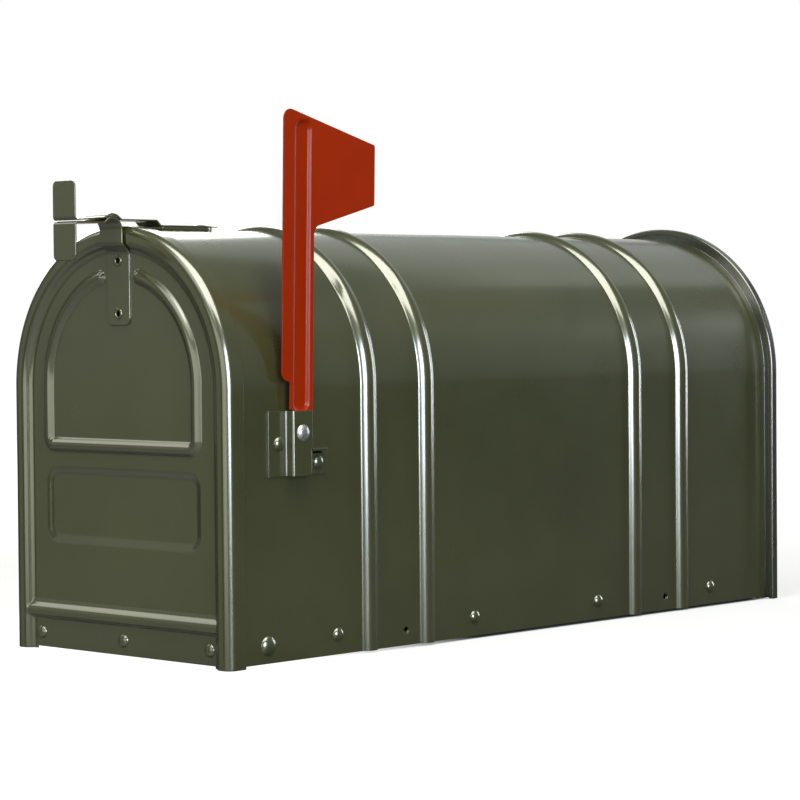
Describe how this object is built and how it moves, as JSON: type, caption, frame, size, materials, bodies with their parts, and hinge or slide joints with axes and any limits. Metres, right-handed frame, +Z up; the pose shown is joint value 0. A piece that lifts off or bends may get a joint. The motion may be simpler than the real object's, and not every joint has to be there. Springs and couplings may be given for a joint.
{
  "type": "mailbox",
  "caption": "Post-mount rural mailbox: ribbed tunnel-top steel body on a board recess, drop-down embossed door with a strap latch, and a red signal flag on the right side.",
  "frame": {"origin": "centre of the underside of the floor, where the mounting board seats", "axes": "+X towards the flag side, +Y from the door to the back, +Z up"},
  "size_m": [0.1876, 0.5097, 0.292],
  "materials": {
    "olive_paint": "satin olive green enamel",
    "red_paint": "satin red enamel",
    "zinc": "zinc plated"
  },
  "bodies": {
    "box": {"body_shell": "olive_paint", "back_panel": "olive_paint", "floor_panel": "olive_paint", "floor_rivets_right": "olive_paint", "floor_rivets_left": "olive_paint", "hinge_rivet_right": "olive_paint", "hinge_rivet_left": "olive_paint", "flag_bracket": "olive_paint", "bracket_rivets": "olive_paint", "flag_pivot_rivet": "zinc", "catch_packing": "olive_paint"},
    "door": {"door_panel": "olive_paint", "hinge_bracket": "olive_paint", "door_rivets": "olive_paint", "door_handle": "olive_paint", "handle_eyelets": "olive_paint"},
    "catch": {"catch_strap": "olive_paint", "catch_rivet": "olive_paint"},
    "flag": {"flag": "red_paint", "flag_washer": "zinc"}
  },
  "joints": [
    {"name": "door_hinge", "type": "hinge", "parent": "box", "child": "door", "pos_m": [0, -0.2116, -0.0096], "axis": [1, 0, 0], "range_deg": [0, 95]},
    {"name": "catch_flex", "type": "hinge", "parent": "box", "child": "catch", "pos_m": [0, -0.1727, 0.2123], "axis": [-1, 0, 0], "range_deg": [0, 3], "stiffness_Nm_per_rad": 1},
    {"name": "flag_pivot", "type": "hinge", "parent": "box", "child": "flag", "pos_m": [0.0905, -0.1908, 0.1017], "axis": [-1, 0, 0], "range_deg": [0, 90]}
  ]
}
